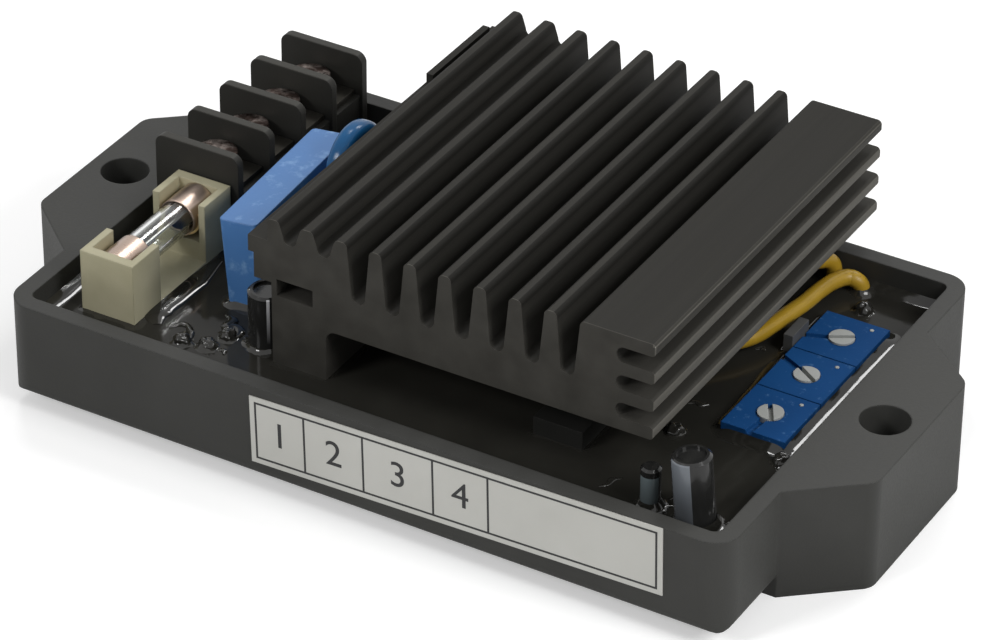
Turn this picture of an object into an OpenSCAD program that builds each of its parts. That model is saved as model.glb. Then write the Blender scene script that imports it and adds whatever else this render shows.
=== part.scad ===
// Voltage regulator for a small generator: a resin-filled tray with a finned heat sink,
// a fuse, a four-way barrier strip and three trimmers. Sizes are in millimetres.
// The ears' undersides lie at z = 0; X runs along the label face, Y to the back.

/* [Tray] */
// Length of the tray without its ears
tray_l = 104; // [100:1:130]
// Width of the tray
tray_w = 67.4; // [65:0.2:84]
// Height of the tray's wall
tray_h = 13.4; // [12.4:0.2:16.8]
// Thickness of the tray's wall
wall_t = 2.4; // [1.8:0.1:2.8]
// Thickness of the tray's floor
floor_t = 2; // [1.4:0.1:2.6]
// Radius of the tray's upright corners
corner_r = 3.6; // [3:0.1:6]
// Radius of the tray's bottom edges
bottom_r = 1.2; // [0.4:0.1:1.6]
// Diameter of the four pillars under the board
pillar_d = 5; // [3:0.2:6]

/* [Ears] */
// Distance of each bolt hole outside the tray's side
hole_offset = 4; // [3.8:0.1:8]
// Diameter of the bolt holes
hole_d = 6.5; // [4.2:0.1:7]
// Distance from a bolt hole's centre to the end of its ear
ear_edge = 5.2; // [4.8:0.1:8]
// Width of an ear where it leaves the tray
ear_root_w = 40; // [36:1:50]
// Width of an ear at its end
ear_tip_w = 24.6; // [22:0.2:32]
// Depth of the ears below the tray's underside
ear_drop = 2.4; // [1:0.1:4]
// Thickness of the ears' outer walls
ear_wall = 2.4; // [1.8:0.1:3]
// Thickness of the ears' top
ear_top = 3; // [2:0.1:5]
// Radius of the ears' upright outer corners
ear_r = 2.4; // [0.8:0.1:3]

/* [Board and resin] */
// Depth of the resin's surface below the rim
resin_drop = 3.8; // [2.6:0.1:4.4]
// Thickness of the circuit board
board_t = 1.6; // [1:0.1:2]
// Height of the pillars that carry the board
board_gap = 3; // [2.1:0.1:3.6]
// Space between the board's edge and the wall
board_margin = 0.8; // [0.4:0.1:1.6]
// Diameter of the parts' wire leads
lead_d = 0.7; // [0.5:0.05:0.9]

/* [Heat sink] */
// Length of the extrusion from front to back
sink_l = 60; // [50:1:64]
// Distance of its front end behind the tray's front
sink_setback = 10.5; // [9.5:0.1:14]
// Distance of its leg from the tray's left side
sink_inset = 33.9; // [32:0.1:40]
// Height of the fin tips above the board
sink_h = 24.3; // [22:0.1:32]
// Height of the recess beside the leg
recess_h = 10.5; // [9.6:0.1:12]
// Thickness of the leg
leg_t = 7.9; // [6.4:0.1:10]
// Thickness of the base under the deep grooves
base_t = 5.5; // [4.6:0.1:7]
// Number of fins left of the flat block
fin_count = 9; // [6:1:9]
// Distance from fin to fin
fin_pitch = 4.94; // [4.4:0.02:5.4]
// Thickness of a fin at its tip
fin_t = 1.6; // [1:0.1:2.2]
// Width of a groove at its rounded bottom
groove_w = 2; // [1.4:0.1:2.4]
// Depth of the first two grooves
shallow_depth = 3.1; // [2:0.1:5]
// Width of the flat block on the right
block_w = 10.3; // [8:0.1:14]
// Depth of the grooves in the block's side
side_depth = 5.3; // [4:0.1:7]
// Height of the grooves in the block's side
side_groove = 2.2; // [1.6:0.1:2.6]

/* [Fuse] */
// Width of the fuse holder
holder_w = 8; // [7.8:0.1:9.4]
// Length of the fuse holder
holder_l = 22.7; // [22:0.1:26]
// Height of the fuse holder above the board
holder_h = 11.8; // [11.4:0.1:14]
// Length of the holder's two end posts
post_l = 6.1; // [5.6:0.1:7]
// Diameter of the fuse's caps
cap_d = 5.2; // [4.8:0.1:5.4]
// Diameter of the fuse's glass
glass_d = 4.7; // [4:0.1:4.8]

/* [Barrier strip] */
// Number of terminals
ways = 4; // [2:1:4]
// Distance from terminal to terminal
pitch = 7.62; // [7.4:0.02:7.7]
// Thickness of the barrier plates
plate_t = 1.2; // [1:0.1:1.4]
// Width of the barrier plates
plate_w = 12.8; // [12.4:0.1:14]
// Height of the barrier plates above the board
plate_h = 16; // [14:0.1:19]
// Height of the strip's base above the board
strip_base_h = 9.8; // [8:0.1:11]
// Diameter of the terminal screws' heads
head_d = 5.8; // [4.6:0.1:5.8]

/* [Parts in the resin] */
// Thickness of the box capacitor
film_t = 5.4; // [4:0.1:6]
// Length of the box capacitor
film_l = 25; // [22:0.1:28]
// Height of the box capacitor
film_h = 15.6; // [12:0.1:18]
// Turn of the box capacitor
film_turn = 3.4; // [2:0.1:4]
// Lean of the box capacitor towards the fuse
film_lean = 4.8; // [0:0.1:5]
// Diameter of the disc varistor
varistor_d = 11.6; // [9:0.1:13]
// Thickness of the disc varistor
varistor_t = 2.8; // [2.2:0.1:3.6]
// Diameter of the two round capacitors
can_d = 5.1; // [4:0.1:6]
// Height of the round capacitor beside the leg
small_can_h = 11.2; // [8:0.1:13]
// Height of the round capacitor at the front right
front_can_h = 12.5; // [8:0.1:16]
// Lean of the round capacitor at the front right
can_lean = 5.5; // [0:0.5:8]
// Diameter of the standing diode
diode_d = 2.6; // [2:0.1:3.4]
// Height of the standing diode
diode_h = 8.8; // [6:0.1:12]
// Diameter of the coated resistors
coated_d = 2.8; // [2.4:0.1:3.4]
// Height of the coated resistors
coated_h = 4.3; // [3.8:0.1:6]
// Diameter of the two insulated leads
wire_d = 2.2; // [1.6:0.1:2.4]

/* [Trimmers] */
// Width of a trimmer's body
trim_w = 8.9; // [8:0.1:9.4]
// Length of a trimmer's body
trim_l = 9.5; // [8.6:0.1:9.6]
// Height of a trimmer's body
trim_h = 4.4; // [4.2:0.1:6]
// Distance from trimmer to trimmer
trim_pitch = 9.7; // [9.7:0.1:10.4]
// Diameter of a trimmer's rotor
rotor_d = 3.4; // [2.6:0.1:4.4]

/* [Label] */
// Length of the label
label_l = 58.3; // [40:0.1:66]
// Height of the label
label_h = 9.8; // [6:0.1:10]
// Turn of the label on its wall
label_turn = 1.4; // [0:0.1:1.6]

/* [Hidden] */
$fn = 48;
fit = 0.1;
run_gap = 0.05;
cast_gap = 0.02;
lead_end = 1;
wire_sides = 8;

left_in = -tray_l / 2 + wall_t;
right_in = tray_l / 2 - wall_t;
front_in = -tray_w / 2 + wall_t;
back_in = tray_w / 2 - wall_t;
rim_z = ear_drop + tray_h;
floor_z = ear_drop + floor_t;
board_z = floor_z + board_gap;
board_top = board_z + board_t;
resin_z = rim_z - resin_drop;
board_l = tray_l - 2 * wall_t - 2 * board_margin;
board_w = tray_w - 2 * wall_t - 2 * board_margin;
pillar_at = [board_l / 2 - 1.5, board_w / 2 - 1.5];
lead_hole_d = lead_d * sqrt(2) + 2 * fit;

hole_x = tray_l / 2 + hole_offset;
ear_end_x = hole_x + ear_edge;
ear_run = ear_end_x - tray_l / 2;
ear_fall = (ear_root_w - ear_tip_w) / 2;
ear_side = norm([ear_run, ear_fall]);

sink_x = -tray_l / 2 + sink_inset;
sink_y0 = -tray_w / 2 + sink_setback;
sink_y1 = sink_y0 + sink_l;
fin_x0 = 0.35;
block_x = fin_x0 + fin_count * fin_pitch - fin_t / 2;
sink_right = block_x + block_w;
tip_r = 0.44 * fin_t;
ledge_x = -3.35;
ledge_h = 2.35;
ledge_top = sink_h - 3.3;
lip_front = 17;
lip_back = 2.4;
lip_w = 1;
lip_h = 1.3;
step_x = -2.55;
step_z = recess_h + 4.5;
slot_at = [0.75, recess_h + 2.75];
slot_size = [5.3, 2.45];
recess_r = 1.5;
side_grooves = 3;
side_fin_t = (sink_h - recess_h - side_grooves * side_groove) / (side_grooves + 1);
side_tip_r = side_fin_t / 3;
leg_back = back_in - 0.5;
leg_clear_z = rim_z + 0.5;
ceiling_z = board_top + recess_h;

screw_d = 3;
screw_head_h = 1.8;
screw_head_d = 5.4;
leg_screw_x = sink_x + leg_t / 2;
leg_screw_y = [sink_y0 + 12, leg_back - 9];
leg_screw_in = 7;

device_w = 10.2;
device_body_l = 9.2;
device_l = 15.6;
device_t = 4.4;
tab_t = 1.3;
tab_hole_y = 12.5;
device_lead_pitch = 2.54;
device_lead_run = 3;
device_in = [17.5, 33];
device_setback = 30;
device_at = [for (x = device_in) [sink_x + x, sink_y0 + device_setback]];
device_screw_in = 3.5;

strip_x = left_in + 0.3 + plate_w / 2;
strip_l = ways * pitch + plate_t;
strip_gap = 0.27;
strip_spare = tray_w - 2 * wall_t - strip_l - strip_gap - holder_l;
strip_back = back_in - strip_spare / 4;
strip_front = strip_back - strip_l;
strip_base_w = plate_w - 0.8;
plate_r = 1.4;
way_w = pitch - plate_t - 2 * fit;
contact_t = 0.8;
contact_l = strip_base_w - 1.6;
contact_pin_x = -contact_l / 2 + 1;
contact_pin_d = 1.2;
contact_z = board_top + strip_base_h;
terminal_head_h = 2.4;
terminal_shank = 4;
terminal_y = [for (i = [0 : ways - 1]) strip_front + plate_t / 2 + (i + 0.5) * pitch];

holder_x = strip_x + 1.3;
holder_y1 = strip_front - strip_gap;
holder_y0 = holder_y1 - holder_l;
holder_floor = 3.4;
holder_end = 1.4;
clip_t = 0.3;
cap_r = cap_d / 2;
clip_r = cap_r + cast_gap;
channel_w = 2 * (clip_r + clip_t + fit);
fuse_z = board_top + holder_h - cap_r - 0.1;
channel_z = fuse_z - clip_r - clip_t - fit;
fuse_y0 = holder_y0 + holder_end + fit;
fuse_y1 = holder_y1 - holder_end - fit;
fuse_cap_l = 5;
cap_bore_l = 4.2;
glass_y0 = fuse_y0 + fuse_cap_l - cap_bore_l;
glass_l = fuse_y1 - fuse_y0 - 2 * (fuse_cap_l - cap_bore_l);
glass_wall = 0.6;
fuse_wire_d = 0.4;
clip_l = 3.6;
clip_rise = 0.8;
clip_pin = [1.2, 0.5];
clip_y = [holder_y0 + post_l / 2 + 0.7, holder_y1 - post_l / 2 - 0.7];

part_gap = 0.3;
varistor_gap = 1.35;
varistor_setback = 37.7;
varistor_top = 20.6;
varistor_x = sink_x + ledge_x - varistor_gap - varistor_t / 2;
varistor_y = front_in + varistor_setback;
varistor_z = board_top + varistor_top - varistor_d / 2;
varistor_edge = varistor_t * 0.36;
varistor_pitch = 5;
film_setback = 16.4;
film_x = varistor_x - varistor_t / 2 - part_gap - film_t + film_h * tan(film_lean);
film_y = front_in + film_setback;
film_r = 0.6;
film_pitch = 20;
film_lead_in = 1.5;
can_pitch = 2;
can_lead_in = 1;
can_crimp = 0.35;
small_can = [sink_x - part_gap - can_d / 2, sink_y0 + 3.4];
front_can = [right_in - 5.5, sink_y0 - 0.25 - can_d / 2];
front_can_z = board_top + can_d / 2 * sin(can_lean);
diode_at = [right_in - 12.2, sink_y0 - 2.5];
diode_edge = 0.3;
snubber_size = [7, 12, 5.6];
snubber_in = [35.9, 3.2];
snubber_at = [sink_x + snubber_in[0], sink_y0 + snubber_in[1]];
snubber_pitch = 8;
chip_size = [1.3, 4.5, 5.8];
chip_at = [right_in - 13.7, back_in - 19.5];
chip_pitch = 2.5;

trim_margin = 3.4;
trim_setback = 24.4;
trim_x = right_in - trim_margin - trim_w / 2;
trim_mid = back_in - trim_setback;
trim_y = [trim_mid + trim_pitch, trim_mid, trim_mid - trim_pitch];
trim_slot = [30, -33, -60];
trim_groove = [201, 154, 264];
rotor_depth = 2;
rotor_rise = 0.25;
rotor_slot = [0.6, 0.7];
trim_groove_w = 0.9;
trim_groove_deep = 0.5;
trim_lead_x = 2.54;

coated_at = [
    [sink_x - 12.3, front_in + 6.1],
    [sink_x - 9, front_in + 6.8],
    [sink_x - 7.9, front_in + 10],
    [snubber_at[0] + snubber_size[0] + 7.8, snubber_at[1] + 9.4],
    [right_in - 9.2, back_in - 5.7],
    [trim_x + trim_w / 2 + 0.7, trim_y[2] - trim_l / 2 - 1.95]
];

wire_r = wire_d / 2;
wire_a = [
    [right_in - 24, back_in - 32, board_top],
    [right_in - 24, back_in - 32, resin_z + 0.3],
    [right_in - 23.88, back_in - 31.79, resin_z + 1.2],
    [right_in - 23.54, back_in - 31.23, resin_z + 1.86],
    [right_in - 23.08, back_in - 30.45, resin_z + 2.1],
    [right_in - 21.2, back_in - 27.1, resin_z + 2.2],
    [right_in - 18.6, back_in - 23.3, resin_z + 2.1],
    [right_in - 17.2, back_in - 20.7, resin_z + 2],
    [right_in - 16.4, back_in - 17.4, resin_z + 2],
    [right_in - 15.7, back_in - 14.4, resin_z + 2.2],
    [right_in - 15.1, back_in - 11.1, resin_z + 2.2],
    [right_in - 14.8, back_in - 7.2, resin_z + 2.1],
    [right_in - 14.2, back_in - 4.1, resin_z + 2],
    [right_in - 13.13, back_in - 2.27, resin_z + 1.85],
    [right_in - 12.32, back_in - 1.96, resin_z + 1.62],
    [right_in - 11.72, back_in - 1.73, resin_z + 0.98],
    [right_in - 11.5, back_in - 1.65, resin_z + 0.1],
    [right_in - 11.5, back_in - 1.65, board_top]
];
wire_b = [
    [right_in - 15.6, back_in - 1.7, board_top],
    [right_in - 15.6, back_in - 1.7, resin_z + 1.8],
    [right_in - 15.75, back_in - 1.95, resin_z + 2.9],
    [right_in - 16.17, back_in - 2.64, resin_z + 3.7],
    [right_in - 16.73, back_in - 3.59, resin_z + 4],
    [right_in - 18, back_in - 5.7, resin_z + 4.1],
    [right_in - 18.8, back_in - 7.1, resin_z + 3.8],
    [right_in - 19.7, back_in - 8.7, resin_z + 3],
    [right_in - 20.25, back_in - 9.65, resin_z + 2],
    [right_in - 20.53, back_in - 10.1, resin_z + 1],
    [right_in - 20.6, back_in - 10.2, resin_z + 0.2],
    [right_in - 20.6, back_in - 10.2, board_top]
];

label_t = 0.15;
label_x = 14.45;
label_z = ear_drop + (tray_h + 2.1) / 2;

// Positions of the round leads that each part pushes through the board
function pair(at, gap, turn) =
    [for (s = [-1, 1]) [at[0] + s * gap / 2 * cos(turn), at[1] + s * gap / 2 * sin(turn)]];
function film_mid() = [
    film_x + film_t / 2 * cos(film_turn) - film_l / 2 * sin(film_turn),
    film_y + film_t / 2 * sin(film_turn) + film_l / 2 * cos(film_turn)
];
film_leads = pair(film_mid(), film_pitch, 90 + film_turn);
varistor_leads = pair([varistor_x, varistor_y], varistor_pitch, 90);
small_can_leads = pair(small_can, can_pitch, 90);
front_can_leads = pair(front_can, can_pitch, 0);
snubber_mid = snubber_at + [snubber_size[0], snubber_size[1]] / 2;
snubber_leads = pair(snubber_mid, snubber_pitch, 90);
chip_leads = pair([chip_at[0] + chip_size[0] / 2, chip_at[1] + chip_size[1] / 2], chip_pitch, 90);
function trim_leads(i) = concat(
    pair([trim_x - trim_lead_x, trim_y[i]], 2 * trim_lead_x, 90),
    [[trim_x + trim_lead_x, trim_y[i]]]
);
function device_leads(i) =
    [for (k = [-1 : 1]) [device_at[i][0] + k * device_lead_pitch, device_at[i][1] - device_lead_run]];
round_leads = concat(
    film_leads, varistor_leads, small_can_leads, front_can_leads, snubber_leads, chip_leads,
    [diode_at], coated_at, trim_leads(0), trim_leads(1), trim_leads(2)
);
bar_leads = concat(device_leads(0), device_leads(1));

// Shared shapes

module rounded_rect(l, w, r) {
    square([l - 2 * r, w], center = true);
    square([l, w - 2 * r], center = true);
    for (sx = [-1, 1], sy = [-1, 1])
        translate([sx * (l / 2 - r), sy * (w / 2 - r)])
            circle(r = r);
}

module along_y(y0, length) {
    translate([0, y0 + length, 0])
        rotate([90, 0, 0])
            linear_extrude(length)
                children();
}

module leads(points, top, grow = 0) {
    for (p = points)
        translate([p[0], p[1], board_z - lead_end - grow])
            cylinder(d = lead_d + 2 * grow, h = top - board_z + lead_end + grow);
}

module block(at, size, grow = 0) {
    translate([at[0] - grow, at[1] - grow, at[2] - grow])
        cube([size[0] + 2 * grow, size[1] + 2 * grow, size[2] + 2 * grow]);
}

module post(at, d, z0, h, grow = 0) {
    translate([at[0], at[1], z0 - grow])
        cylinder(d = d + 2 * grow, h = h + 2 * grow);
}

// Points of one ring of a round lead; each ring lies across the lead's local direction
function unit(v) = v / norm(v);
function way(path, i) =
    unit(path[min(i + 1, len(path) - 1)] - path[max(i - 1, 0)]);
function ring(path, i, r) =
    let (t = way(path, i), side = unit(cross(t, [1, -0.6, 0])), up = cross(side, t))
    [for (k = [0 : wire_sides - 1])
        path[i] + r * (cos(k * 360 / wire_sides) * side + sin(k * 360 / wire_sides) * up)];

module tube(path, r) {
    n = wire_sides;
    rings = len(path);
    points = [for (i = [0 : rings - 1]) each ring(path, i, r)];
    walls = [
        for (i = [0 : rings - 2], k = [0 : n - 1])
            [i * n + k, i * n + (k + 1) % n, (i + 1) * n + (k + 1) % n, (i + 1) * n + k]
    ];
    start = [for (k = [0 : n - 1]) n - 1 - k];
    end = [for (k = [0 : n - 1]) (rings - 1) * n + k];
    polyhedron(points, concat(walls, [start, end]), convexity = 6);
}

// Tray with its two bolt-down ears

module ear_outline() {
    round_at = [ear_end_x - ear_r, ear_tip_w / 2 - ear_r * (ear_side - ear_fall) / ear_run];
    touch = round_at + ear_r / ear_side * [ear_fall, ear_run];
    difference() {
        union() {
            polygon([
                [tray_l / 2 - wall_t, -ear_root_w / 2], [tray_l / 2, -ear_root_w / 2],
                [touch[0], -touch[1]], [ear_end_x, -round_at[1]], [ear_end_x, round_at[1]], touch,
                [tray_l / 2, ear_root_w / 2], [tray_l / 2 - wall_t, ear_root_w / 2]
            ]);
            for (s = [-1, 1])
                translate([round_at[0], s * round_at[1]])
                    circle(r = ear_r);
        }
        translate([hole_x, 0])
            circle(d = hole_d);
    }
}

module ear_pocket() {
    y_in = hole_d / 2 + ear_wall;
    y_root = ear_root_w / 2 - ear_wall * ear_side / ear_run;
    x_end = ear_end_x - ear_wall;
    y_end = y_root - ear_fall / ear_run * (x_end - tray_l / 2);
    polygon([[tray_l / 2, y_in], [x_end, y_in], [x_end, y_end], [tray_l / 2, y_root]]);
}

module pillars(grow = 0) {
    for (sx = [-1, 1], sy = [-1, 1])
        post([sx * pillar_at[0], sy * pillar_at[1]], pillar_d, floor_z, board_gap, grow);
}

module tray_side(length) {
    steps = [for (a = [0 : 22.5 : 90]) bottom_r * [cos(a), sin(a)]];
    polygon(concat(
        [for (p = steps) [length / 2 - bottom_r + p[0], ear_drop + bottom_r - p[1]]],
        [for (i = [len(steps) - 1 : -1 : 0])
            [bottom_r - length / 2 - steps[i][0], ear_drop + bottom_r - steps[i][1]]],
        [[-length / 2, rim_z], [length / 2, rim_z]]
    ));
}

module tray_block() {
    intersection() {
        translate([0, 0, ear_drop])
            linear_extrude(tray_h)
                rounded_rect(tray_l, tray_w, corner_r);
        along_y(-tray_w / 2, tray_w)
            tray_side(tray_l);
        rotate([0, 0, 90])
            along_y(-tray_l / 2, tray_l)
                tray_side(tray_w);
    }
}

module tray() {
    color([0.11, 0.11, 0.11]) {
        difference() {
            union() {
                tray_block();
                for (side = [0, 1])
                    mirror([side, 0, 0])
                        linear_extrude(rim_z)
                            ear_outline();
            }
            translate([0, 0, floor_z])
                linear_extrude(tray_h)
                    rounded_rect(tray_l - 2 * wall_t, tray_w - 2 * wall_t, corner_r - wall_t);
            for (sx = [0, 1], sy = [0, 1])
                mirror([sx, 0, 0])
                    mirror([0, sy, 0])
                        translate([0, 0, -1])
                            linear_extrude(rim_z - ear_top + 1)
                                ear_pocket();
        }
        intersection() {
            pillars();
            translate([0, 0, floor_z])
                linear_extrude(tray_h)
                    rounded_rect(tray_l - wall_t, tray_w - wall_t, corner_r - wall_t / 2);
        }
    }
}

// Circuit board on the pillars

module board_slab(grow = 0) {
    translate([0, 0, board_z - grow])
        linear_extrude(board_t + 2 * grow)
            rounded_rect(board_l + 2 * grow, board_w + 2 * grow, corner_r - wall_t + grow);
}

module circuit_board() {
    color([0.16, 0.3, 0.17])
        difference() {
            board_slab();
            for (p = concat(round_leads, bar_leads))
                post(p, lead_hole_d, board_z - 1, board_t + 2);
            for (y = terminal_y)
                post([strip_x + contact_pin_x, y], contact_pin_d + 2 * fit, board_z - 1, board_t + 2);
            for (y = clip_y)
                block([holder_x - clip_pin[0] / 2, y - clip_pin[1] / 2, board_z - 1],
                      [clip_pin[0], clip_pin[1], board_t + 2], fit);
            for (y = leg_screw_y)
                post([leg_screw_x, y], screw_d + 2 * fit, board_z - 1, board_t + 2);
        }
}

// Resin around everything that stands on the board

module potting() {
    color([0.04, 0.04, 0.045])
        difference() {
            translate([0, 0, floor_z])
                linear_extrude(resin_z - floor_z)
                    rounded_rect(tray_l - 2 * wall_t, tray_w - 2 * wall_t, corner_r - wall_t);
            pillars(cast_gap);
            board_slab(cast_gap);
            leads(round_leads, board_z, cast_gap);
            for (y = terminal_y)
                post([strip_x + contact_pin_x, y], contact_pin_d, board_z - lead_end, lead_end, cast_gap);
            for (y = clip_y)
                block([holder_x - clip_pin[0] / 2, y - clip_pin[1] / 2, board_z - lead_end],
                      [clip_pin[0], clip_pin[1], lead_end], cast_gap);
            for (p = bar_leads)
                block([p[0] - lead_d / 2, p[1] - lead_d / 2, board_z - lead_end],
                      [lead_d, lead_d, sink_h], cast_gap);
            for (y = leg_screw_y)
                post([leg_screw_x, y], screw_head_d, board_z - screw_head_h, screw_head_h, cast_gap);
            block([sink_x, sink_y0, board_top], [leg_t, leg_back - sink_y0, recess_h], cast_gap);
            block([holder_x - holder_w / 2, holder_y0, board_top], [holder_w, holder_l, holder_h], cast_gap);
            strip_body(cast_gap);
            film_body(cast_gap);
            leads(film_leads, board_top + film_lead_in, cast_gap);
            leads(varistor_leads, varistor_z, cast_gap);
            post(small_can, can_d, board_top, small_can_h, cast_gap);
            front_can_place()
                post([0, 0], can_d, 0, front_can_h, cast_gap);
            leads(front_can_leads, board_top + can_lead_in, cast_gap);
            post(diode_at, diode_d, board_top, diode_h, cast_gap);
            block([snubber_at[0], snubber_at[1], board_top], snubber_size, cast_gap);
            block([chip_at[0], chip_at[1], board_top], chip_size, cast_gap);
            for (p = coated_at)
                post(p, coated_d, board_top, coated_h, cast_gap);
            for (y = trim_y)
                block([trim_x - trim_w / 2, y - trim_l / 2, board_top], [trim_w, trim_l, trim_h], cast_gap);
            for (p = [wire_a[0], wire_a[len(wire_a) - 1], wire_b[0], wire_b[len(wire_b) - 1]])
                post(p, wire_d, board_top, sink_h, cast_gap);
        }
}

// Finned extrusion, its screws and the two power devices under it

function groove_depth(i) = i < 2 ? shallow_depth : sink_h - recess_h - base_t;
function groove_slope(i) = (fin_pitch - fin_t - groove_w) / (2 * groove_depth(i) - groove_w);
function side_fin_z(k) = recess_h + k * (side_fin_t + side_groove);

// Waste outside the rounded edge between a level top and a wall that slopes outwards as it falls
module tip_edge(r, slope = 0) {
    run = sqrt(1 + slope * slope);
    over = 0.2;
    middle = [r * (slope - run), -r];
    touch = middle + r / run * [1, slope];
    difference() {
        polygon([[middle[0], over], [over, over], touch, middle]);
        translate(middle)
            circle(r = r);
    }
}

module sink_outline() {
    difference() {
        union() {
            polygon([
                [0, 0], [leg_t, 0], [leg_t, recess_h], [sink_right, recess_h],
                [sink_right, sink_h], [fin_x0 - fin_t / 2, sink_h],
                [fin_x0 - fin_t / 2, ledge_top], [ledge_x, ledge_top],
                [ledge_x, ledge_top - ledge_h], [step_x, ledge_top - ledge_h],
                [step_x, step_z], [0, step_z]
            ]);
            difference() {
                translate([leg_t, recess_h - recess_r])
                    square(recess_r);
                translate([leg_t + recess_r, recess_h - recess_r])
                    circle(r = recess_r);
            }
        }
        for (i = [0 : fin_count - 1])
            translate([fin_x0 + (i + 0.5) * fin_pitch, sink_h]) {
                groove(groove_depth(i));
                for (s = [0, 1])
                    mirror([s, 0])
                        translate([(fin_t - fin_pitch) / 2, 0])
                            tip_edge(tip_r, groove_slope(i));
            }
        translate([fin_x0 - fin_t / 2, sink_h])
            mirror([1, 0])
                tip_edge(tip_r);
        for (k = [0 : side_grooves - 1])
            translate([sink_right - side_depth, side_fin_z(k) + side_fin_t])
                side_slot();
        for (k = [0 : side_grooves]) {
            translate([sink_right, side_fin_z(k) + side_fin_t])
                tip_edge(side_tip_r);
            translate([sink_right, side_fin_z(k)])
                mirror([0, 1])
                    tip_edge(side_tip_r);
        }
        translate(slot_at)
            square(slot_size);
    }
}

module groove(depth) {
    top_w = fin_pitch - fin_t;
    polygon([
        [-top_w / 2, 0.2], [-top_w / 2, 0], [-groove_w / 2, groove_w / 2 - depth],
        [groove_w / 2, groove_w / 2 - depth], [top_w / 2, 0], [top_w / 2, 0.2]
    ]);
    translate([0, groove_w / 2 - depth])
        circle(d = groove_w);
}

module side_slot() {
    translate([side_groove / 2, 0])
        square([side_depth, side_groove]);
    translate([side_groove / 2, side_groove / 2])
        circle(d = side_groove);
}

module heat_sink() {
    color([0.13, 0.13, 0.13])
        difference() {
            union() {
                translate([sink_x, 0, board_top])
                    along_y(sink_y0, sink_l)
                        sink_outline();
                translate([sink_x + ledge_x, sink_y1 - lip_front, board_top + ledge_top - ledge_h / 2])
                    cube([lip_w, lip_front - lip_back, ledge_h / 2 + lip_h]);
            }
            block([sink_x - 1, leg_back, board_top - 1], [leg_t + 3, sink_l, leg_clear_z - board_top + 1]);
            for (p = device_at)
                post([p[0], p[1] + tab_hole_y], screw_d + 2 * fit, ceiling_z - 1, device_screw_in + 1.5);
            for (y = leg_screw_y)
                post([leg_screw_x, y], screw_d + 2 * fit, board_top - 1, leg_screw_in + 1.5);
        }
}

module heat_sink_screws() {
    color([0.7, 0.7, 0.7])
        for (y = leg_screw_y) {
            post([leg_screw_x, y], screw_head_d, board_z - screw_head_h, screw_head_h);
            post([leg_screw_x, y], screw_d, board_z - 0.5, board_t + leg_screw_in + 0.5);
        }
}

module power_device(i) {
    at = device_at[i];
    color([0.15, 0.15, 0.16])
        difference() {
            union() {
                block([at[0] - device_w / 2, at[1], ceiling_z - device_t],
                      [device_w, device_body_l, device_t]);
                block([at[0] - device_w / 2, at[1], ceiling_z - tab_t], [device_w, device_l, tab_t]);
                for (p = device_leads(i)) {
                    block([p[0] - lead_d / 2, p[1] - lead_d / 2, ceiling_z - device_t / 2 - lead_d],
                          [lead_d, device_lead_run + lead_d, lead_d]);
                    block([p[0] - lead_d / 2, p[1] - lead_d / 2, board_z - lead_end],
                          [lead_d, lead_d, ceiling_z - device_t / 2 - board_z + lead_end]);
                }
            }
            post([at[0], at[1] + tab_hole_y], screw_d + 2 * fit, ceiling_z - device_t, device_t + 1);
        }
}

module device_screws() {
    color([0.7, 0.7, 0.7])
        for (p = device_at) {
            post([p[0], p[1] + tab_hole_y], screw_head_d, ceiling_z - tab_t - screw_head_h, screw_head_h);
            post([p[0], p[1] + tab_hole_y], screw_d, ceiling_z - tab_t - 0.5, tab_t + device_screw_in + 0.5);
        }
}

module thyristor() {
    power_device(0);
}

module flywheel_diode() {
    power_device(1);
}

// Open fuse holder with its glass fuse

module fuse_holder() {
    color([0.82, 0.78, 0.68])
        difference() {
            union() {
                block([holder_x - holder_w / 2, holder_y0, board_top], [holder_w, holder_l, holder_floor]);
                for (y = [holder_y0, holder_y1 - post_l])
                    block([holder_x - holder_w / 2, y, board_top], [holder_w, post_l, holder_h]);
            }
            block([holder_x - channel_w / 2, holder_y0 + holder_end, channel_z],
                  [channel_w, holder_l - 2 * holder_end, holder_h]);
            for (y = clip_y)
                block([holder_x - clip_pin[0] / 2, y - clip_pin[1] / 2, board_top - 1],
                      [clip_pin[0], clip_pin[1], holder_h], fit);
        }
}

module fuse_clips() {
    color([0.75, 0.7, 0.6])
        for (y = clip_y) {
            translate([holder_x, 0, fuse_z])
                along_y(y - clip_l / 2, clip_l)
                    difference() {
                        circle(r = clip_r + clip_t);
                        circle(r = clip_r);
                        translate([-cap_d, clip_rise])
                            square([2 * cap_d, cap_d]);
                    }
            block([holder_x - clip_pin[0] / 2, y - clip_pin[1] / 2, board_z - lead_end],
                  [clip_pin[0], clip_pin[1], fuse_z - clip_r - clip_t / 2 - board_z + lead_end]);
        }
}

module fuse_rod(y0, length, d) {
    translate([holder_x, 0, fuse_z])
        along_y(y0, length)
            circle(d = d);
}

module fuse_glass() {
    color([0.85, 0.9, 0.9])
        difference() {
            fuse_rod(glass_y0, glass_l, glass_d);
            fuse_rod(fuse_y0, fuse_y1 - fuse_y0, glass_d - 2 * glass_wall);
        }
}

module fuse_caps() {
    color([0.78, 0.72, 0.62])
        for (y = [fuse_y0, fuse_y1 - fuse_cap_l])
            difference() {
                fuse_rod(y, fuse_cap_l, cap_d);
                fuse_rod(glass_y0, glass_l, glass_d + fit);
            }
}

module fuse_wire() {
    color([0.8, 0.8, 0.8])
        fuse_rod(glass_y0, glass_l, fuse_wire_d);
}

// Barrier strip with screw terminals

module plate_outline() {
    square([plate_w, plate_h - plate_r]);
    translate([plate_r, 0])
        square([plate_w - 2 * plate_r, plate_h]);
    for (x = [plate_r, plate_w - plate_r])
        translate([x, plate_h - plate_r])
            circle(r = plate_r);
}

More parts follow.
